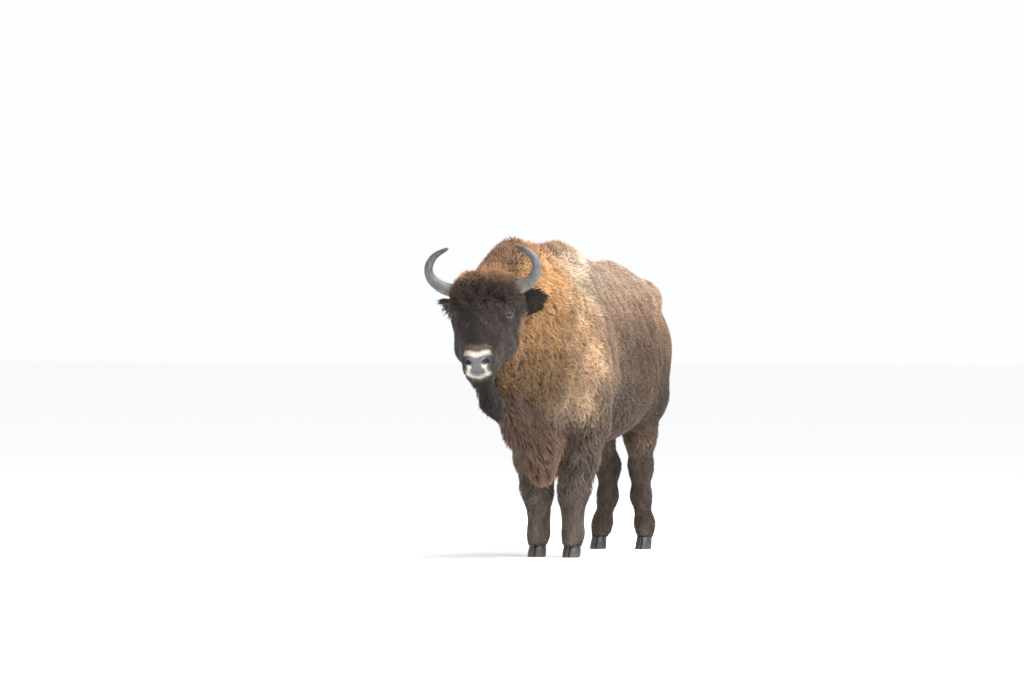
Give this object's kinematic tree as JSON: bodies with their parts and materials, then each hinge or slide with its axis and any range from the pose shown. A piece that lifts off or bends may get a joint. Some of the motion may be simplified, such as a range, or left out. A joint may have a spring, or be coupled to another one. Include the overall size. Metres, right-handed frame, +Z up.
{
  "type": "wisent",
  "caption": "Life-size European bison standing square on cloven hooves, head lowered and turned slightly, with short curved horns, beard and long chest hair.",
  "frame": {"origin": "middle of the underside of the whole model's box, on the floor between the hooves", "axes": "+Z up; -Y forwards, the way the animal faces; +X to the animal's left"},
  "size_m": [0.7592, 2.8222, 1.7152],
  "materials": {
    "coat_dark": "long blackish-brown hair of the face, beard and legs",
    "coat_brown": "short dense brown coat of the flanks and rump, and shaggy brown hair under the chest",
    "coat_golden": "woolly golden-brown coat of the hump, shoulders and neck",
    "horn": "grey horn, ringed and yellowish at the base, smoother and dark at the tip",
    "hoof": "dark hoof horn with fine growth lines",
    "eye": "wet dark-brown eye"
  },
  "bodies": {
    "root": {"muzzle": "coat_dark", "forelock": "coat_brown", "beard": "coat_dark", "head": "coat_dark", "apron": "coat_brown", "neck": "coat_golden", "forequarters": "coat_golden", "barrel": "coat_brown", "hindquarters": "coat_brown", "foreleg_left_upper": "coat_dark", "foreleg_left_cannon": "coat_dark", "foreleg_left_foot": "coat_dark", "foreleg_right_upper": "coat_dark", "foreleg_right_cannon": "coat_dark", "foreleg_right_foot": "coat_dark", "hindleg_left_upper": "coat_dark", "hindleg_left_cannon": "coat_dark", "hindleg_left_foot": "coat_dark", "hindleg_right_upper": "coat_dark", "hindleg_right_cannon": "coat_dark", "hindleg_right_foot": "coat_dark", "horn_left": "horn", "eye_left": "eye", "ear_left": "coat_dark", "horn_right": "horn", "eye_right": "eye", "ear_right": "coat_dark", "tail": "coat_brown", "tail_tuft": "coat_dark", "foreleg_left_claw_left": "hoof", "foreleg_left_dewclaw_left": "hoof", "foreleg_left_claw_right": "hoof", "foreleg_left_dewclaw_right": "hoof", "foreleg_right_claw_left": "hoof", "foreleg_right_dewclaw_left": "hoof", "foreleg_right_claw_right": "hoof", "foreleg_right_dewclaw_right": "hoof", "hindleg_left_claw_left": "hoof", "hindleg_left_dewclaw_left": "hoof", "hindleg_left_claw_right": "hoof", "hindleg_left_dewclaw_right": "hoof", "hindleg_right_claw_left": "hoof", "hindleg_right_dewclaw_left": "hoof", "hindleg_right_claw_right": "hoof", "hindleg_right_dewclaw_right": "hoof"}
  },
  "joints": []
}
